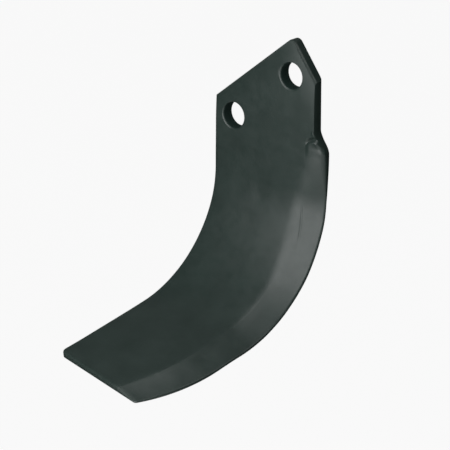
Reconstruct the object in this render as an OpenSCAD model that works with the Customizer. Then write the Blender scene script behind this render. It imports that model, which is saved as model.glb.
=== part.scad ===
// Rotary tiller blade, forged from one length of flat bar.
// The bar is cropped and punched at the top, forged out to a cutting bevel along one edge,
// thinned towards the tip and then bent sideways on a slightly skewed line.
// The origin is midway between the two bolt holes, on the face that bolts to the rotor flange.
// +Y points into the flange, the blade hangs down -Z and bends away from the flange towards -Y.

/* [Bar] */
// Width of the flat bar
bar_w = 80; // [76:1:90]
// Thickness of the flat bar
bar_t = 8; // [6:0.5:12]
// Rolled rounding along the long edges of the bar
bar_edge_r = 2; // [1:0.1:2.9]

/* [Bolt holes] */
// Diameter of each bolt hole
bolt_hole_d = 16.5; // [12:0.5:18]
// Distance between the centres of the two bolt holes
hole_spacing = 57; // [50:1:62]
// Slope of the line through the two holes, up towards the cutting edge
hole_line_angle = 36; // [30:1:42]
// Distance from the centre of the lower hole to the plain edge of the bar
hole_inset = 15.5; // [13:0.1:18]
// Chamfer that the punch leaves around each hole on the front face
hole_chamfer = 0.6; // [0.3:0.1:1]

/* [Cropped end] */
// Slope of the long cropped edge above the holes
top_cut_angle = 37.5; // [32:0.5:42]
// Distance from the centre of the upper hole to the long cropped edge
top_margin = 19; // [15:0.5:24]
// Distance from the centre of the upper hole to the short cropped edge
end_margin = 14; // [12:0.5:18]
// Rounding of the corner between the two cropped edges
top_corner_r = 4; // [1:0.5:9]

/* [Forged blade] */
// Length of the plain edge from the middle of the holes to the tip
blade_len = 228; // [215:1:260]
// How far the forging spreads the cutting edge beyond the bar
edge_spread = 5; // [2:0.5:10]
// Distance below the middle of the holes at which the bar starts to widen
spread_start = 15; // [8:1:18]
// Length over which the bar widens
spread_len = 14; // [12:1:22]
// How much further the edge swells just below the shoulder
swell = 1.3; // [0:0.1:3]
// Length over which the swell dies away again
swell_len = 36; // [20:1:60]
// Distance below the middle of the holes at which the bar starts to bow
bow_start = 18; // [10:1:30]
// Radius to which the forging bows the plain edge of the bar
bow_r = 910; // [600:10:2000]

/* [Cutting bevel] */
// Width of the bevel, measured in from the cutting edge
bevel_w = 17; // [12:0.5:22]
// Thickness left at the cutting edge
edge_t = 2; // [1.2:0.1:3]
// Distance below the middle of the holes to the top of the bevel
bevel_start = 21; // [18:0.5:24]
// Rounding of the inner corner at the top of the bevel
bevel_end_r = 6; // [3:0.5:10]
// Length of the shoulder, where the bar first thins at its edge
shoulder_len = 5; // [3:0.5:9]
// Share of the thinning that the shoulder makes, 1 for all of it
shoulder_share = 0.45; // [0.3:0.05:1]
// Length below the shoulder over which the bevel grows to its full depth
bevel_run = 34; // [15:1:60]
// Height of the lip raised round the top of the bevel
lip_h = 0.4; // [0:0.1:1]
// Depth of the groove that the die has cut just outside the lip
groove_d = 0.6; // [0:0.1:1]
// Length of the lip, and of the groove, down the blade
lip_len = 3.5; // [2:0.5:5]

/* [Bend] */
// Distance below the middle of the holes at which the bend starts
bend_start = 53.5; // [45:0.5:65]
// Radius of the bend at the middle of the bar's thickness
bend_r = 84; // [70:1:110]
// Angle of the bend
bend_angle = 74; // [45:1:90]
// Angle between the bend line and a square line across the bar
bend_skew = 4; // [0:0.5:8]

/* [Tip] */
// Length over which the blade thins towards its tip
tip_taper_len = 50; // [30:1:80]
// Thickness of the blade at the end of the tip
tip_t = 4; // [3:0.1:6]
// Thickness left at the cutting edge at the end of the tip
tip_edge_t = 1.2; // [0.6:0.1:2]
// Length over which the cutting edge curves in to the tip
tip_sweep_len = 54; // [30:1:70]
// Radius of the curve of the cutting edge at the tip
tip_sweep_r = 125; // [90:1:200]
// Rounding of the tip corner on the plain edge
tip_inner_r = 4; // [2:0.5:8]
// Rounding of the tip corner on the cutting edge
tip_outer_r = 1.5; // [1:0.5:6]

/* [Hidden] */
steel_green = [0.17, 0.21, 0.2];
bore_fn = 96;
cut_over = 1;                 // how far a cutting tool runs past the bar
bevel_cols = 10;              // columns of facets across the bevel
round_steps = 4;              // facets round each rolled edge
corner_steps = 10;            // straight pieces in the arc of the cropped corner
shoulder_steps = 32;          // sections through the shoulder
body_steps = 38;              // sections from the shoulder to the sweep of the tip
sweep_steps = 12;             // sections along the sweep
tip_corner_steps = 6;         // sections through the rounded tip corners

spread_end = spread_start + spread_len;
half_span = hole_spacing / 2;
upper_hole = half_span * [cos(hole_line_angle), sin(hole_line_angle)];
lower_hole = -upper_hole;
plain_edge_x = lower_hole[0] - hole_inset;
bend_axis = [plain_edge_x + bar_w / 2, -bend_start];
bend_len = bend_r * bend_angle * PI / 180;
reach = 2 * bar_w;            // how far the cropping tool spreads past the bar

// 0 before a, 1 after b, an even S between
function ease(v, a, b) = let (t = max(0, min(1, (v - a) / (b - a)))) t * t * (3 - 2 * t);
// how far a rounded corner of radius r has drawn in, at a distance d before its end
function corner(d, r) = d >= r ? 0 : r - sqrt(r * r - pow(r - max(0, d), 2));

// The forged bar is laid out straight: s runs down the plain edge, w across, h back from the face.
function tip_part(s) = max(0, (s - blade_len + tip_taper_len) / tip_taper_len);
function thickness(s) = bar_t - (bar_t - tip_t) * pow(tip_part(s), 2);
function edge_thickness(s) = edge_t - (edge_t - tip_edge_t) * pow(tip_part(s), 2);
function long_edge_r(s) = bar_edge_r * thickness(s) / bar_t;
// share of the bevel's depth reached at s where the bevel begins at top, 0 on the bar's face
function grown(s, top) =
    let (run_start = bevel_start + shoulder_len / 2)
    shoulder_share * ease(s, top, top + shoulder_len)
    + (1 - shoulder_share) * ease(s, run_start, bevel_start + shoulder_len + bevel_run);
// the roundings of the cutting edge are shares of its thickness, reached from the bar's own rounding
edge_front_share = 1 / 2;
edge_back_share = 1 / 4;
function edge_r(s, share) =
    let (m = grown(s, bevel_start)) long_edge_r(s) * (1 - m) + edge_thickness(s) * share * m;

function inner_w(s) = corner(blade_len - s, tip_inner_r);
function sweep(s) =
    let (d = max(0, s - blade_len + tip_sweep_len))
    tip_sweep_r - sqrt(tip_sweep_r * tip_sweep_r - d * d);
function outer_w(s) =
    bar_w + (edge_spread + swell) * ease(s, spread_start, spread_end)
    - swell * ease(s, spread_end, spread_end + swell_len)
    - sweep(s) - corner(blade_len - s, tip_outer_r);
function bevel_line(s) = outer_w(s) - bevel_w;

// where the bevel begins at w: level near the edge, and a quarter round at its inner corner
function bevel_top(s, w) =
    let (across = min(0, w - bevel_line(s) - bevel_end_r))
    bevel_start + bevel_end_r - sqrt(max(0, bevel_end_r * bevel_end_r - across * across));
// 0 at a and b, rising to 1 midway
function crest(v, a, b) = ease(v, a, (a + b) / 2) * (1 - ease(v, (a + b) / 2, b));
// the lip round the top of the bevel and the groove just outside it, fading out at both ends
function lip(s, w) =
    let (top = bevel_top(s, w),
         fade = ease(w - bevel_line(s), 0, bevel_end_r / 2) * ease(outer_w(s) - w, 0, bevel_end_r))
    fade * (lip_h * crest(s, top, top + lip_len) - groove_d * crest(s, top - lip_len / 2, top + lip_len / 2));

// depth of the front face at w: the rolled edge, and below the shoulder the bevel
function front_depth(s, w) =
    corner(outer_w(s) - w, edge_r(s, edge_front_share))
    + (thickness(s) - edge_thickness(s)) * max(0, w - bevel_line(s)) / bevel_w * grown(s, bevel_top(s, w))
    - lip(s, w);

// one section across the bar, as [w, h] points that run round it
function section(s) =
    let (t = thickness(s), r = long_edge_r(s), wi = inner_w(s), wo = outer_w(s),
         rf = edge_r(s, edge_front_share), rb = edge_r(s, edge_back_share))
    concat(
        [for (i = [0 : round_steps])
            let (a = 90 * i / round_steps) [wi + r - r * cos(a), r - r * sin(a)]],
        [for (i = [0 : bevel_cols])
            let (w = bevel_line(s) + (bevel_w - rf) * i / bevel_cols) [w, front_depth(s, w)]],
        [for (i = [1 : round_steps])
            let (w = wo - rf + rf * sin(90 * i / round_steps)) [w, front_depth(s, w)]],
        [for (i = [0 : round_steps])
            let (a = 90 * i / round_steps) [wo - rb + rb * cos(a), t - rb + rb * sin(a)]],
        [for (i = [0 : round_steps])
            let (a = 90 * i / round_steps) [wi + r - r * sin(a), t - r + r * cos(a)]]);

// From the straight layout to the bowed and bent blade: first the place on the flat bar, as [x, z].
function bowed(s, w) =
    s <= bow_start ? [plain_edge_x + w, -s]
    : let (a = (s - bow_start) / bow_r * 180 / PI)
        [plain_edge_x - bow_r, -bow_start] + (bow_r + w) * [cos(a), -sin(a)];

// bends a flat point around the skewed line, where depth h runs back from the front face
function bent(p, h) =
    let (along = [-sin(bend_skew), -cos(bend_skew)],
         across = [cos(bend_skew), -sin(bend_skew)],
         d = (p - bend_axis) * along,
         c = (p - bend_axis) * across,
         a = max(0, min(bend_angle, d / bend_r * 180 / PI)),
         run = d <= 0 ? d : max(0, d - bend_len),
         r = bend_r - bar_t / 2 + h,
         flat = bend_axis + c * across + (r * sin(a) + run * cos(a)) * along)
    [flat[0], r * cos(a) - run * sin(a) - bar_t / 2 - bend_r, flat[1]];

function spaced(a, b, n) = [for (i = [1 : n]) a + (b - a) * i / n];
corner_r = max(tip_inner_r, tip_outer_r);
bevel_full = bevel_start + bevel_end_r + shoulder_len;
crop_top = upper_hole[1] + top_margin + end_margin;
stations = concat(
    [-crop_top, spread_start],
    spaced(spread_start, bevel_full, shoulder_steps),
    spaced(bevel_full, blade_len - tip_sweep_len, body_steps),
    spaced(blade_len - tip_sweep_len, blade_len - corner_r, sweep_steps),
    [for (i = [1 : tip_corner_steps]) blade_len - corner_r * (1 - sin(90 * i / tip_corner_steps))]);

// skin over the sections, closed at both ends
module skin(rings) {
    n = len(rings[0]);
    last = len(rings) - 1;
    polyhedron(
        points = [for (ring = rings) each ring],
        faces = concat(
            [[for (i = [n - 1 : -1 : 0]) i]],
            [for (k = [0 : last - 1], i = [0 : n - 1])
                let (j = (i + 1) % n, a = k * n, b = a + n)
                each [[a + i, b + j, b + i], [a + i, a + j, b + j]]],
            [[for (i = [0 : n - 1]) last * n + i]]));
}

module forged_bar()
    skin([for (s = stations) [for (q = section(s)) bent(bowed(s, q[0]), q[1])]]);

// The cropped end and the punched holes.
// The point at distance d1 inside the long edge's direction and d2 inside the short edge's direction
function crop_point(d1, d2) =
    let (n1 = [-sin(top_cut_angle), cos(top_cut_angle)],
         n2 = [cos(hole_line_angle), sin(hole_line_angle)],
         det = n1[0] * n2[1] - n1[1] * n2[0])
    upper_hole + [d1 * n2[1] - n1[1] * d2, n1[0] * d2 - d1 * n2[0]] / det;

module kept_outline() {
    mid = crop_point(top_margin - top_corner_r, end_margin - top_corner_r);
    turn = 90 + top_cut_angle - hole_line_angle;
    rounded = [for (i = [0 : corner_steps])
        let (a = hole_line_angle + turn * i / corner_steps) mid + top_corner_r * [cos(a), sin(a)]];
    polygon(concat(rounded, [
        rounded[corner_steps] - reach * [cos(top_cut_angle), sin(top_cut_angle)],
        rounded[0] + reach * [sin(hole_line_angle), -cos(hole_line_angle)]]));
}

module cropped_waste()
    translate([0, cut_over, 0]) rotate([90, 0, 0]) linear_extrude(bar_t + 2 * cut_over)
        difference() {
            translate([plain_edge_x - reach, -bow_start + cut_over])
                square([bar_w + 2 * reach, crop_top + 2 * bow_start]);
            kept_outline();
        }

module bolt_hole() rotate([90, 0, 0]) {
    flare_r = bolt_hole_d / 2 + hole_chamfer + cut_over;
    translate([0, 0, -cut_over]) cylinder(d = bolt_hole_d, h = bar_t + 2 * cut_over, $fn = bore_fn);
    translate([0, 0, bar_t - hole_chamfer])
        cylinder(r1 = bolt_hole_d / 2, r2 = flare_r, h = hole_chamfer + cut_over, $fn = bore_fn);
}

module blade() color(steel_green) difference() {
    forged_bar();
    cropped_waste();
    for (at = [upper_hole, lower_hole]) translate([at[0], 0, at[1]]) bolt_hole();
}

blade();
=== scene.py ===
import math

import bmesh
import bpy
from mathutils import Matrix, Vector, noise


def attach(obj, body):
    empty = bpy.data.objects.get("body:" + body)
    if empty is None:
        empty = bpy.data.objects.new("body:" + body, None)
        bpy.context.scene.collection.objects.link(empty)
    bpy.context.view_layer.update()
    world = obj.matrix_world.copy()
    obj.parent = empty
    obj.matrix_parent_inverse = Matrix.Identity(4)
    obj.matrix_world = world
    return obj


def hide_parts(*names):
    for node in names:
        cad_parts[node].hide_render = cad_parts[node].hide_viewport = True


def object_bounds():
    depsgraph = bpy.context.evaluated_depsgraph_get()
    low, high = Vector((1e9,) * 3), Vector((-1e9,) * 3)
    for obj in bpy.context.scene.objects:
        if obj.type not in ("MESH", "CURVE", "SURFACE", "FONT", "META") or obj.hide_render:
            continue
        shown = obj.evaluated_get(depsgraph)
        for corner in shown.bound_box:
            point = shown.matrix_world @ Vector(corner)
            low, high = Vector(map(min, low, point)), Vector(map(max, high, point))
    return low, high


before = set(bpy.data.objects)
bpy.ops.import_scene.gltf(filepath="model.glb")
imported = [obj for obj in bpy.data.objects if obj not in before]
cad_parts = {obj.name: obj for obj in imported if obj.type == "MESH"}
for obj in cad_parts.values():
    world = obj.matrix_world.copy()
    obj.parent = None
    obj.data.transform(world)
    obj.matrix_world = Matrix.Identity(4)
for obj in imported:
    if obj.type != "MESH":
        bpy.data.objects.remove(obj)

CAD_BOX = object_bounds()
MM = 0.001
MERGE = 1e-7        # metres

# The blade's drawing sizes
BAR_W, BAR_T, BAR_EDGE_R = 80.0, 8.0, 2.0
HOLE_D, HOLE_SPACING, HOLE_ANGLE, HOLE_INSET = 16.5, 57.0, math.radians(36), 15.5
CUT_ANGLE, TOP_MARGIN, END_MARGIN, TOP_CORNER_R = math.radians(37.5), 19.0, 14.0, 4.0
BLADE_LEN, EDGE_SPREAD, SPREAD_START, SPREAD_LEN = 228.0, 5.0, 15.0, 14.0
SWELL, SWELL_LEN = 1.3, 36.0
BOW_START, BOW_R = 18.0, 910.0
BEVEL_W, EDGE_T, TIP_EDGE_T, BEVEL_START, BEVEL_END_R = 17.0, 2.0, 1.2, 21.0, 6.0
SHOULDER_LEN, SHOULDER_SHARE, BEVEL_RUN = 5.0, 0.45, 34.0
BACK_SHARE = 0.25                    # rounding of the edge's back corner, as a share of the edge
BEND_START, BEND_R, BEND_ANGLE, BEND_SKEW = 53.5, 84.0, math.radians(74), math.radians(4)
TIP_TAPER_LEN, TIP_T = 50.0, 4.0
TIP_SWEEP_LEN, TIP_SWEEP_R, TIP_INNER_R, TIP_OUTER_R = 54.0, 125.0, 4.0, 1.5

# The raised rim that arches round the bevel's top, and the groove outside it
RIM_TOP, RIM_MID = 21.6, 80.0        # the arch's top, down and across the bar
RIM_FALL = (0.077, 0.125)            # how the arch falls away inwards and outwards
RIM_INNER = (73.0, 76.5)             # across the bar, where the rim rises
LIP_H, LIP_CREST, LIP_FADE = 0.7, 0.4, 9.0
GROOVE_D, GROOVE_W, GROOVE_END = 1.3, 3.4, 0.2

# Surface detail that the forging, shearing and punching leave
ROLLOVER, ROLLOVER_LEN = 0.9, 17.0   # how far shearing rolls the face down at the cropped edges
WASTE_ROLL = 2.0                     # how far past the cropped edges the roll goes on
LONG_ROUND, SHORT_ROUND, CUT_DROP = 1.6, 3.4, 3.4   # insets and depth of the cropped edges' rounding
TIP_CHAMFER = 0.35                   # broken edge of the tip's end
TIP_ROUND, TIP_SHARE = 2.2, 0.45     # how the front face rolls down at the tip's end
SIDE_CORNER = 0.5                    # width of the outer edge's front corner on the plain bar
CORNER_SHARE = 0.45                  # that corner's depth as a share of the edge
CORNER_FLAT = 1.3                    # its width over its depth on the bevel
CORNER_CHANGE = (-1.0, 5.0)          # where it changes from plain to bevelled, from the bevel's start
RIM_ROUND = 1.3                      # rounding of the punched holes' front rims
SOFT_LINE, SOFT_LINE_AT = (4.5, 1.2), (80.0, 130.0)   # softness of the bevel's inner line, high and low
TOP_ROLL = 2.4                       # how much the bevel rolls over towards the edge just below the lip
# how the bend crowns the face across its width
CROWN, CROWN_AT, CROWN_POWER = 1.2, (40.0, 75.0, 150.0, 200.0), 2.5
# unevenness as its height, its lengths along and across, and its place in the noise
BODY_WAVES = (0.10, 22.0, 16.0, 3.1)
HAMMER_STROKES = (0.30, 13.0, 18.0, 7.7)
STROKES_RISE, WAVES_RISE = 6.0, (20.0, 50.0)
# small dents and nubs as (s, w, size along, size across, depth)
MARKS = ((16.6, 79.2, 1.2, 0.9, -0.5), (63.0, 39.0, 5.0, 3.5, 0.12), (155.6, 54.9, 1.6, 2.6, 0.10),
         (177.6, 73.8, 1.5, 2.2, 0.12), (207.0, 64.6, 1.4, 2.2, 0.12), (86.0, 73.6, 2.0, 1.2, 0.2))
MARK_REACH = 3
LAP = ((61.3, 70.9), (82.3, 73.2))   # a lap line that the forging has folded in
LAP_D, LAP_W, LAP_RISE, LAP_END = 0.35, 0.6, (-0.1, 0.3), (0.9, 1.1)

# The tools that crop and punch
REACH = 160.0                        # how far the cropping tool spreads past the bar
OVER = 2.0                           # how far a tool stands out of the bar
MOUTH_TURN, MOUTH_STEPS, ARC_STEPS, PUNCH_STEPS = math.radians(80), 6, 12, 96

SPREAD_END = SPREAD_START + SPREAD_LEN
UPPER_HOLE = Vector((math.cos(HOLE_ANGLE), math.sin(HOLE_ANGLE))) * HOLE_SPACING / 2
PLAIN_EDGE_X = -UPPER_HOLE.x - HOLE_INSET
BEND_AXIS = Vector((PLAIN_EDGE_X + BAR_W / 2, -BEND_START))
LONG_CUT = Vector((-math.sin(CUT_ANGLE), math.cos(CUT_ANGLE)))
SHORT_CUT = Vector((math.cos(HOLE_ANGLE), math.sin(HOLE_ANGLE)))
CROP_TURN = math.pi / 2 + CUT_ANGLE - HOLE_ANGLE
CROP_TOP = UPPER_HOLE.y + TOP_MARGIN + END_MARGIN


# The forged bar's profile
def ease(v, a, b):
    """0 before a, 1 after b, an even S between."""
    t = min(1.0, max(0.0, (v - a) / (b - a)))
    return t * t * (3 - 2 * t)


def corner(d, r):
    """How far a rounded corner of radius r has drawn in, at a distance d before its end."""
    return 0.0 if d >= r else r - math.sqrt(max(0.0, r * r - (r - max(0.0, d)) ** 2))


def tip_part(s):
    return max(0.0, (s - BLADE_LEN + TIP_TAPER_LEN) / TIP_TAPER_LEN)


def thickness(s):
    return BAR_T - (BAR_T - TIP_T) * tip_part(s) ** 2


def edge_thickness(s):
    return EDGE_T - (EDGE_T - TIP_EDGE_T) * tip_part(s) ** 2


def long_edge_r(s):
    return BAR_EDGE_R * thickness(s) / BAR_T


def grown(s, top):
    """Share of the bevel's depth reached at s where the bevel begins at top, 0 on the bar's face."""
    run_start = BEVEL_START + SHOULDER_LEN / 2
    return (SHOULDER_SHARE * ease(s, top, top + SHOULDER_LEN)
            + (1 - SHOULDER_SHARE) * ease(s, run_start, BEVEL_START + SHOULDER_LEN + BEVEL_RUN))


def back_corner_r(s):
    m = grown(s, BEVEL_START)
    return long_edge_r(s) * (1 - m) + edge_thickness(s) * BACK_SHARE * m


def front_corner(s):
    """Width and depth of the outer edge's front corner."""
    left = thickness(s) - (thickness(s) - edge_thickness(s)) * grown(s, BEVEL_START)
    depth = CORNER_SHARE * left
    m = ease(s, BEVEL_START + CORNER_CHANGE[0], BEVEL_START + CORNER_CHANGE[1])
    return SIDE_CORNER * (1 - m) + CORNER_FLAT * depth * m, depth


def outer_w(s):
    d = max(0.0, s - BLADE_LEN + TIP_SWEEP_LEN)
    sweep = TIP_SWEEP_R - math.sqrt(TIP_SWEEP_R ** 2 - d * d)
    return (BAR_W + (EDGE_SPREAD + SWELL) * ease(s, SPREAD_START, SPREAD_END)
            - SWELL * ease(s, SPREAD_END, SPREAD_END + SWELL_LEN)
            - sweep - corner(BLADE_LEN - s, TIP_OUTER_R))


def inner_w(s):
    return corner(BLADE_LEN - s, TIP_INNER_R)


def crest(v, a, b):
    """0 at a and b, rising to 1 midway."""
    return ease(v, a, (a + b) / 2) * (1 - ease(v, (a + b) / 2, b))


def bump(d, size):
    return math.exp(-(d / size) ** 2)


def rounded_top(w, start):
    """Where a form that begins at a line across the bar is reached at w, with a rounded inner corner."""
    across = min(0.0, w - start - BEVEL_END_R)
    return BEVEL_START + BEVEL_END_R - math.sqrt(max(0.0, BEVEL_END_R ** 2 - across ** 2))


def rim_height(s, w):
    """The rim round the bevel's top: a groove outside it and a lip that fades into the bevel."""
    off = w - RIM_MID
    past = s - RIM_TOP - RIM_FALL[off > 0] * off * off
    lip = LIP_H * ease(past, -GROOVE_W / 2, LIP_CREST) * (1 - ease(past, LIP_CREST, LIP_FADE))
    return (lip - GROOVE_D * crest(past, -GROOVE_W + GROOVE_END, GROOVE_END)) * ease(w, *RIM_INNER)


def soft_rise(d, soft):
    """0 before -soft, d after soft, and a smooth curve between."""
    return 0.0 if d < -soft else d if d > soft else (d + soft) ** 2 / (4 * soft)


def bevel_depth(s, w):
    """The bevel and the rim round its top, as a depth below the bar's face."""
    start = outer_w(s) - BEVEL_W
    soft = SOFT_LINE[0] + (SOFT_LINE[1] - SOFT_LINE[0]) * ease(s, *SOFT_LINE_AT)
    roll = 1 + TOP_ROLL * (1 - ease(s, BEVEL_START, BEVEL_START + SHOULDER_LEN + BEVEL_RUN))
    full = (thickness(s) - edge_thickness(s)) * (soft_rise(w - start, soft) / BEVEL_W) ** roll
    return full * grown(s, rounded_top(w, start)) - rim_height(s, w)


def marks(s, w):
    depth = sum(d * bump(s - s0, ls) * bump(w - w0, lw) for s0, w0, ls, lw, d in MARKS
                if abs(s - s0) < MARK_REACH * ls and abs(w - w0) < MARK_REACH * lw)
    (s0, w0), (s1, w1) = LAP
    along = (s - s0) / (s1 - s0)
    if LAP_RISE[0] < along < LAP_END[1]:
        off = w - (w0 + (w1 - w0) * along)
        depth += LAP_D * bump(off, LAP_W) * ease(along, *LAP_RISE) * (1 - ease(along, *LAP_END))
    return depth


def rollover(s, w):
    """The sheared edges are rolled down a little; measured on the flat shank."""
    p = Vector((PLAIN_EDGE_X + w, -s)) - UPPER_HOLE
    drop = 0.0
    for normal, margin in ((LONG_CUT, TOP_MARGIN), (SHORT_CUT, END_MARGIN)):
        d = margin - p.dot(normal)
        drop += ROLLOVER * max(0.0, 1 - max(-WASTE_ROLL, d) / ROLLOVER_LEN) ** 2
    return drop


def waves(s, w, height, along, across, place):
    return height * noise.noise(Vector((s / along, w / across, place)))


def front_depth(s, w):
    """How deep the front face lies at s and w, with everything that forging and shearing do to it."""
    wo = outer_w(s)
    body = waves(s, w, *BODY_WAVES)
    strokes = waves(s, w, *HAMMER_STROKES) * ease(w, wo - BEVEL_W, wo - BEVEL_W + STROKES_RISE)
    crown = (CROWN * abs(2 * w / BAR_W - 1) ** CROWN_POWER
             * ease(s, *CROWN_AT[:2]) * (1 - ease(s, *CROWN_AT[2:])))
    width, depth = front_corner(s)
    plain = (corner(wo - w, width) * depth / width + bevel_depth(s, w) + rollover(s, w) + marks(s, w) + crown
             + (body + strokes) * ease(s, *WAVES_RISE))
    end = corner(BLADE_LEN - s, TIP_ROUND) / TIP_ROUND
    return plain + TIP_SHARE * end * (thickness(s) - plain)


# Columns round the section, and rows down the blade
ROUND_STEPS, BODY_COLS, BEVEL_COLS, BACK_COLS = 8, 30, 38, 34


def spread(a, b, n, last=True):
    return [a + (b - a) * i / n for i in range(n + (1 if last else 0))]


def quarter():
    return spread(0.0, math.pi / 2, ROUND_STEPS)


def section(s):
    """One section across the bar, as (w, h) points that run round it."""
    t, r, wi, wo = thickness(s), long_edge_r(s), inner_w(s), outer_w(s)
    rf, rb = front_corner(s)[0], back_corner_r(s)
    start = wo - BEVEL_W
    plain = front_depth(s, wi + r)
    ring = [(wi + r - r * math.cos(a), plain + r - r * math.sin(a)) for a in quarter()[:-1]]
    ring += [(w, front_depth(s, w)) for w in spread(wi + r, start, BODY_COLS, last=False)]
    ring += [(w, front_depth(s, w)) for w in spread(start, wo - rf, BEVEL_COLS, last=False)]
    ring += [(w, front_depth(s, w)) for w in (wo - rf + rf * math.sin(a) for a in quarter())]
    ring += [(wo - rb + rb * math.cos(a), t - rb + rb * math.sin(a)) for a in quarter()]
    ring += [(w, t) for w in spread(wo - rb, wi + r, BACK_COLS)[1:-1]]
    ring += [(wi + r - r * math.sin(a), t - r + r * math.cos(a)) for a in quarter()]
    return ring


SHANK_ROWS, SHOULDER_ROWS, BLADE_ROWS, END_ROWS, TIP_ROWS = 44, 88, 110, 4, 10
SHOULDER_FROM, SHOULDER_TO, END_FROM = SPREAD_START - 3, SPREAD_END + 12, BLADE_LEN - 8
STATIONS = (spread(-CROP_TOP, SHOULDER_FROM, SHANK_ROWS, last=False)
            + spread(SHOULDER_FROM, SHOULDER_TO, SHOULDER_ROWS, last=False)
            + spread(SHOULDER_TO, END_FROM, BLADE_ROWS, last=False)
            + spread(END_FROM, BLADE_LEN - TIP_INNER_R, END_ROWS, last=False)
            + [BLADE_LEN - TIP_CHAMFER - (TIP_INNER_R - TIP_CHAMFER) * (1 - math.sin(a))
               for a in spread(0, math.pi / 2, TIP_ROWS)])


# From the drawing to the bent blade
def bowed(s, w):
    """Place on the flat bar, as (x, z)."""
    if s <= BOW_START:
        return Vector((PLAIN_EDGE_X + w, -s))
    a = (s - BOW_START) / BOW_R
    return Vector((PLAIN_EDGE_X - BOW_R, -BOW_START)) + (BOW_R + w) * Vector((math.cos(a), -math.sin(a)))


def bent(p, h):
    """Bends a flat point round the skewed line, where depth h runs back from the front face. In metres."""
    along = Vector((-math.sin(BEND_SKEW), -math.cos(BEND_SKEW)))
    across = Vector((math.cos(BEND_SKEW), -math.sin(BEND_SKEW)))
    d = (p - BEND_AXIS).dot(along)
    a = max(0.0, min(BEND_ANGLE, d / BEND_R))
    run = d if d <= 0 else max(0.0, d - BEND_R * BEND_ANGLE)
    r = BEND_R - BAR_T / 2 + h
    flat = BEND_AXIS + (p - BEND_AXIS).dot(across) * across + (r * math.sin(a) + run * math.cos(a)) * along
    return Vector((flat.x, r * math.cos(a) - run * math.sin(a) - BAR_T / 2 - BEND_R, flat.y)) * MM


# The blade's mesh
def wrap(bm, rings, places=None):
    """A flat grid is wrapped round the rings of points; its UVs can keep each point's place on the bar."""
    around, down = len(rings[0]), len(rings) - 1
    grid = bmesh.ops.create_grid(bm, x_segments=around, y_segments=down, size=1.0)
    uv = bm.loops.layers.uv.new("on_bar")
    kept = {}
    for v in grid["verts"]:
        i, j = round((v.co.x + 1) / 2 * around), round((v.co.y + 1) / 2 * down)
        v.co = rings[j][i % around]
        kept[v] = places[j][i % around] if places else (0, 0)
    for f in bm.faces:
        for loop in f.loops:
            loop[uv].uv = kept[loop.vert]
    bmesh.ops.remove_doubles(bm, verts=bm.verts, dist=MERGE)


def fill_ends(bm):
    ends = bmesh.ops.holes_fill(bm, edges=[e for e in bm.edges if e.is_boundary], sides=0)["faces"]
    bmesh.ops.recalc_face_normals(bm, faces=bm.faces[:])
    return ends


def solid(name, bm):
    mesh = bpy.data.meshes.new(name)
    bm.to_mesh(mesh)
    bm.free()
    piece = bpy.data.objects.new(name, mesh)
    bpy.context.scene.collection.objects.link(piece)
    return piece


def forged_bar():
    bm = bmesh.new()
    sections = [section(s) for s in STATIONS]
    rings = [[bent(bowed(s, w), h) for w, h in ring] for s, ring in zip(STATIONS, sections)]
    places = [[(s * MM, w * MM) for w, h in ring] for s, ring in zip(STATIONS, sections)]
    wrap(bm, rings, places)
    tip = min(fill_ends(bm), key=lambda f: f.calc_center_median().z)
    bmesh.ops.inset_region(
        bm, faces=[tip], thickness=TIP_CHAMFER * MM, depth=TIP_CHAMFER * MM, use_even_offset=True)
    return solid("blade", bm)


def rounding(inset, drop):
    """Inset and drop along a quarter round, a little short of level so that it crosses the face cleanly."""
    return [(inset * (1 - math.cos(a)), drop * (1 - math.sin(a))) for a in spread(0, MOUTH_TURN, MOUTH_STEPS)]


def kept_outline(long_inset, short_inset):
    """The cropped end's outline on the flat bar, drawn in by the insets, and round the waste beyond it."""
    n1, n2 = LONG_CUT, SHORT_CUT
    r = TOP_CORNER_R - (long_inset + short_inset) / 2
    d1, d2 = TOP_MARGIN - long_inset - r, END_MARGIN - short_inset - r
    det = n1.x * n2.y - n1.y * n2.x
    mid = UPPER_HOLE + Vector((d1 * n2.y - n1.y * d2, n1.x * d2 - d1 * n2.x)) / det
    arc = [mid + r * Vector((math.cos(a), math.sin(a)))
           for a in spread(HOLE_ANGLE, HOLE_ANGLE + CROP_TURN, ARC_STEPS)]
    low = arc[0] + REACH * Vector((math.sin(HOLE_ANGLE), -math.cos(HOLE_ANGLE)))
    left = arc[-1] - REACH * Vector((math.cos(CUT_ANGLE), math.sin(CUT_ANGLE)))
    return [low] + arc + [left, Vector((left.x, REACH)), Vector((low.x, REACH))]


def cropped_waste():
    """What the shear takes away; its mouth is flared, so the kept edge comes out rounded in front."""
    levels = [(0, OVER)] + [(i, -BAR_T + d) for i, d in rounding(1, CUT_DROP)]
    levels.append((levels[-1][0], -BAR_T - OVER))
    bm = bmesh.new()
    wrap(bm, [[Vector((p.x, y, p.y)) * MM for p in kept_outline(i * LONG_ROUND, i * SHORT_ROUND)]
              for i, y in levels])
    fill_ends(bm)
    return solid("cropped_waste", bm)


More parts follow.
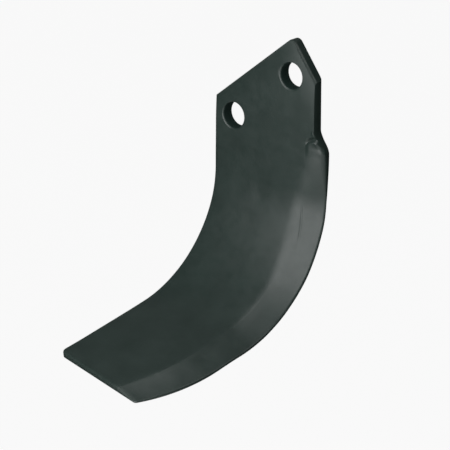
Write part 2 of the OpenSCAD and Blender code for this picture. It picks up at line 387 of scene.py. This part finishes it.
def punch(centre):
    """The shape of a bolt hole: a bore with a rounded mouth on the front face."""
    r = HOLE_D / 2
    mouth = [(r + i, -BAR_T + d) for i, d in rounding(RIM_ROUND, RIM_ROUND)]
    profile = [(0, OVER), (r, OVER)] + mouth + [(mouth[-1][0], -BAR_T - OVER), (0, -BAR_T - OVER)]
    bm = bmesh.new()
    verts = [bm.verts.new(Vector((x + centre.x, y, centre.y)) * MM) for x, y in profile]
    edges = [bm.edges.new(pair) for pair in zip(verts, verts[1:])]
    bmesh.ops.spin(
        bm, geom=verts + edges, cent=Vector((centre.x, 0, centre.y)) * MM, axis=(0, 1, 0),
        angle=2 * math.pi, steps=PUNCH_STEPS, use_merge=True)
    bmesh.ops.remove_doubles(bm, verts=bm.verts, dist=MERGE)
    bmesh.ops.recalc_face_normals(bm, faces=bm.faces[:])
    return solid("punch", bm)


def cut_away(blade, tool):
    cut = blade.modifiers.new("cut", "BOOLEAN")
    cut.operation, cut.solver, cut.object = "DIFFERENCE", "EXACT", tool
    bpy.context.view_layer.update()
    left = bpy.data.meshes.new_from_object(blade.evaluated_get(bpy.context.evaluated_depsgraph_get()))
    blade.modifiers.remove(cut)
    blade.data = left
    bpy.data.objects.remove(tool)


# Materials
def linear(code):
    """A colour written as sRGB hex, as the linear value that a shader socket takes."""
    parts = [int(code[i:i + 2], 16) / 255 for i in (1, 3, 5)]
    return tuple(p / 12.92 if p <= 0.04045 else ((p + 0.055) / 1.055) ** 2.4 for p in parts) + (1.0,)


def add(tree, kind, inputs=None, **settings):
    """Adds a node, sets what it holds, and feeds its inputs with values or other nodes' outputs."""
    made = tree.nodes.new(kind)
    for name, value in settings.items():
        setattr(made, name, value)
    for name, value in (inputs or {}).items():
        if isinstance(value, bpy.types.NodeSocket):
            tree.links.new(value, made.inputs[name])
        else:
            made.inputs[name].default_value = value
    return made


def new_material(name):
    material = bpy.data.materials.new(name)
    material.use_nodes = True
    material.node_tree.nodes.clear()
    return material, material.node_tree


# Sizes of the paint's patterns, in millimetres
MOTTLE, SCALE_PITS, GRAIN = 16, 5, 1.3
PIT_DEPTH, GRAIN_DEPTH = 0.25, 0.05
PAINT_DARK, PAINT_PALE, PAINT_IN_BORES = "#1e2825", "#242e2b", "#202c29"
ROUGH = (0.30, 0.40)                 # the paint's roughness in the pits' lows and highs
BORE_ROUGH, BORE_EDGE = 0.55, 0.2    # added roughness in the bores, and how far round them it reaches
SPECULAR, BORE_SPECULAR = 0.4, 0.03
NOISE_RANGE = {"From Min": 0.3, "From Max": 0.7}


def painted_forged_steel():
    # Hot-forged spring steel dipped in thin dark grey-green paint: the scale's mottle shows through.
    material, tree = new_material("painted_forged_steel")
    where = add(tree, "ShaderNodeTexCoord").outputs["Object"]
    mottle = add(tree, "ShaderNodeTexNoise", {
        "Vector": where, "Scale": 1 / (MOTTLE * MM), "Detail": 5.0, "Roughness": 0.55})
    grain = add(tree, "ShaderNodeTexNoise", {"Vector": where, "Scale": 1 / (GRAIN * MM), "Detail": 3.0})
    pits = add(tree, "ShaderNodeTexNoise", {
        "Vector": where, "Scale": 1 / (SCALE_PITS * MM), "Detail": 4.0, "Roughness": 0.6})

    pale = add(tree, "ShaderNodeMapRange", {"Value": mottle.outputs["Fac"], **NOISE_RANGE})
    paint = add(tree, "ShaderNodeMix", {
        0: pale.outputs["Result"], 6: linear(PAINT_DARK), 7: linear(PAINT_PALE)}, data_type="RGBA")
    rough = add(tree, "ShaderNodeMapRange", {
        "Value": pits.outputs["Fac"], "To Min": ROUGH[0], "To Max": ROUGH[1], **NOISE_RANGE})

    # The bores, found by their distance from the holes' axes, stay dull.
    flat = add(tree, "ShaderNodeVectorMath", {0: where, 1: (1, 0, 1)}, operation="MULTIPLY")
    off_axis = [add(tree, "ShaderNodeVectorMath", {
        0: flat.outputs["Vector"], 1: (c.x * MM, 0, c.y * MM)}, operation="DISTANCE").outputs["Value"]
        for c in (UPPER_HOLE, -UPPER_HOLE)]
    nearest = add(tree, "ShaderNodeMath", {0: off_axis[0], 1: off_axis[1]}, operation="MINIMUM")
    in_bore = add(tree, "ShaderNodeMath", {
        0: nearest.outputs["Value"], 1: (HOLE_D / 2 + BORE_EDGE) * MM},
        operation="LESS_THAN").outputs["Value"]
    colour = add(tree, "ShaderNodeMix", {
        0: in_bore, 6: paint.outputs[2], 7: linear(PAINT_IN_BORES)}, data_type="RGBA")
    dull = add(tree, "ShaderNodeMath", {
        0: in_bore, 1: BORE_ROUGH, 2: rough.outputs["Result"]}, operation="MULTIPLY_ADD")
    gloss = add(tree, "ShaderNodeMapRange", {"Value": in_bore, "To Min": SPECULAR, "To Max": BORE_SPECULAR})

    low = add(tree, "ShaderNodeBump", {
        "Height": pits.outputs["Fac"], "Strength": 0.12, "Distance": PIT_DEPTH * MM})
    fine = add(tree, "ShaderNodeBump", {
        "Height": grain.outputs["Fac"], "Strength": 0.10, "Distance": GRAIN_DEPTH * MM,
        "Normal": low.outputs["Normal"]})
    steel = add(tree, "ShaderNodeBsdfPrincipled", {
        "Base Color": colour.outputs[2], "Roughness": dull.outputs["Value"],
        "Specular IOR Level": gloss.outputs["Result"], "Normal": fine.outputs["Normal"]})
    add(tree, "ShaderNodeOutputMaterial", {"Surface": steel.outputs["BSDF"]})
    return material


CLOTH_WEAVE, PAPER_FIBRE = 2, 10 / 3           # millimetres
CLOTH_DARK, CLOTH_PALE, PAPER_DARK, PAPER_PALE = "#0a0a0a", "#1a1a1a", "#f4f4f4", "#ffffff"
FLOOR_SHARE = 0.93                   # how much of the seen floor is pure white, and not lit paper


def black_cloth():
    # Woven black studio cloth, dull with a faint weave.
    material, tree = new_material("black_studio_cloth")
    where = add(tree, "ShaderNodeTexCoord").outputs["Object"]
    weave = add(tree, "ShaderNodeTexNoise", {"Vector": where, "Scale": 1 / (CLOTH_WEAVE * MM)})
    black = add(tree, "ShaderNodeMix", {
        0: weave.outputs["Fac"], 6: linear(CLOTH_DARK), 7: linear(CLOTH_PALE)}, data_type="RGBA")
    matt = add(tree, "ShaderNodeBsdfDiffuse", {"Color": black.outputs[2]})
    add(tree, "ShaderNodeOutputMaterial", {"Surface": matt.outputs["BSDF"]})
    return material


def white_floor():
    # Matt white paper. The eye and the paint see it at full white, less the blade's shadow.
    material, tree = new_material("white_paper_floor")
    where = add(tree, "ShaderNodeTexCoord").outputs["Object"]
    fibre = add(tree, "ShaderNodeTexNoise", {"Vector": where, "Scale": 1 / (PAPER_FIBRE * MM)})
    paper = add(tree, "ShaderNodeMix", {
        0: fibre.outputs["Fac"], 6: linear(PAPER_DARK), 7: linear(PAPER_PALE)}, data_type="RGBA")
    matt = add(tree, "ShaderNodeBsdfDiffuse", {"Color": paper.outputs[2]})
    glow = add(tree, "ShaderNodeEmission", {"Color": (1, 1, 1, 1), "Strength": 1.0})
    path = add(tree, "ShaderNodeLightPath")
    mirrored = add(tree, "ShaderNodeMath", {
        0: path.outputs["Is Glossy Ray"], 1: path.outputs["Is Transmission Ray"]}, operation="MAXIMUM")
    seen = add(tree, "ShaderNodeMath", {
        0: path.outputs["Is Camera Ray"], 1: mirrored.outputs["Value"]}, operation="MAXIMUM")
    share = add(tree, "ShaderNodeMath", {0: seen.outputs["Value"], 1: FLOOR_SHARE}, operation="MULTIPLY")
    mix = add(tree, "ShaderNodeMixShader", {
        0: share.outputs["Value"], 1: matt.outputs["BSDF"], 2: glow.outputs["Emission"]})
    add(tree, "ShaderNodeOutputMaterial", {"Surface": mix.outputs["Shader"]})
    return material


# Stage, light and camera, with lengths in metres
VIEW_AZIMUTH, VIEW_ELEVATION, VIEW_ROLL = math.radians(40.93), math.radians(19.1), math.radians(-0.24)
VIEW_DISTANCE, LENS, SENSOR = 1.517, 196.9, 36.0
AIM = Vector((-3.84, -38.48, -76.68)) * MM
FLOOR_DROP, FLOOR_SIZE = 0.42, 6.0
# flags as their side of the view, where they begin and end ahead of the blade, and their height
FLAGS = ((-0.42, -0.16, 0.9, 1.3), (0.42, -0.5, 0.9, 1.0))
WORLD_LIGHT = 0.15
# lamps as their name, direction from the blade, distance, width, height and watts: the key lights the front,
# and the others catch the upper bevel, the lower bevel and the cutting edge
LAMPS = (("key", (0.06, -0.92, 0.38), 0.75, 1.0, 1.04, 12.0),
         ("low", (0.08, -0.93, -0.3), 0.8, 0.5, 0.25, 0.5),
         ("top", (-0.05, -0.2, 0.98), 0.9, 0.45, 0.45, 1.4),
         ("edge", (0.65, 0.1, 0.75), 0.9, 0.35, 0.35, 1.3))


def view_axes():
    back = Vector((math.sin(VIEW_AZIMUTH) * math.cos(VIEW_ELEVATION),
                   -math.cos(VIEW_AZIMUTH) * math.cos(VIEW_ELEVATION), math.sin(VIEW_ELEVATION)))
    right = Vector((math.cos(VIEW_AZIMUTH), math.sin(VIEW_AZIMUTH), 0))
    up = back.cross(right)
    c, s = math.cos(VIEW_ROLL), math.sin(VIEW_ROLL)
    return right * c + up * s, up * c - right * s, back


def place_camera():
    right, up, back = view_axes()
    data = bpy.data.cameras.new("camera")
    data.lens, data.sensor_width, data.sensor_fit = LENS, SENSOR, "HORIZONTAL"
    camera = bpy.data.objects.new("camera", data)
    bpy.context.scene.collection.objects.link(camera)
    turn = Matrix((right, up, back)).transposed().to_4x4()
    camera.matrix_world = Matrix.Translation(AIM + back * VIEW_DISTANCE) @ turn
    bpy.context.scene.camera = camera


def soft_box(name, direction, distance, width, height, watts):
    """A rectangular lamp that faces the blade from a direction."""
    data = bpy.data.lights.new(name, "AREA")
    data.shape, data.size, data.size_y, data.energy = "RECTANGLE", width, height, watts
    lamp = bpy.data.objects.new(name, data)
    bpy.context.scene.collection.objects.link(lamp)
    at = AIM + Vector(direction).normalized() * distance
    lamp.matrix_world = Matrix.Translation(at) @ (at - AIM).to_track_quat("Z", "Y").to_matrix().to_4x4()


def light_stage():
    scene = bpy.context.scene
    scene.view_settings.view_transform = "Standard"
    world = bpy.data.worlds.new("studio")
    scene.world = world
    world.use_nodes = True
    world.node_tree.nodes.clear()
    room = add(world.node_tree, "ShaderNodeBackground", {"Color": (1, 1, 1, 1), "Strength": WORLD_LIGHT})
    add(world.node_tree, "ShaderNodeOutputWorld", {"Surface": room.outputs["Background"]})
    for lamp in LAMPS:
        soft_box(*lamp)


def lay_floor():
    bm = bmesh.new()
    bmesh.ops.create_grid(bm, x_segments=4, y_segments=4, size=FLOOR_SIZE)
    bmesh.ops.translate(bm, verts=bm.verts, vec=(0, 0, CAD_BOX[0][2] - FLOOR_DROP))
    floor = solid("floor", bm)
    floor.data.materials.append(white_floor())


def stand_flags():
    """Black cloth flags stand on both sides, out of the frame, and keep the white floor out of the paint."""
    right, _, back = view_axes()
    cloth = black_cloth()
    for side, near, far, height in FLAGS:
        bm = bmesh.new()
        bmesh.ops.create_grid(bm, x_segments=2, y_segments=2, size=0.5)
        bmesh.ops.rotate(bm, verts=bm.verts, cent=(0, 0, 0), matrix=Matrix.Rotation(math.pi / 2, 3, "X"))
        bmesh.ops.scale(bm, verts=bm.verts, vec=(far - near, 1, height))
        bmesh.ops.translate(bm, verts=bm.verts, vec=((far + near) / 2, side, height / 2 - FLOOR_DROP))
        ahead = Vector((-back.x, -back.y, 0)).normalized()
        turn = Matrix((ahead, Vector((right.x, right.y, 0)).normalized(), Vector((0, 0, 1)))).transposed()
        bmesh.ops.rotate(bm, verts=bm.verts, cent=(0, 0, 0), matrix=turn)
        bmesh.ops.translate(bm, verts=bm.verts, vec=(AIM.x, AIM.y, CAD_BOX[0][2]))
        flag = solid("flag_left" if side < 0 else "flag_right", bm)
        flag.data.materials.append(cloth)


SHARP = math.radians(32)             # edges that turn more than this stay crisp


def build_blade():
    blade = forged_bar()
    for tool in (cropped_waste(), punch(UPPER_HOLE), punch(-UPPER_HOLE)):
        cut_away(blade, tool)
    blade.data.materials.clear()
    blade.data.materials.append(painted_forged_steel())
    blade.data.shade_smooth()
    blade.data.set_sharp_from_angle(angle=SHARP)
    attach(blade, "root")
    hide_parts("blade")


build_blade()
lay_floor()
stand_flags()
light_stage()
place_camera()
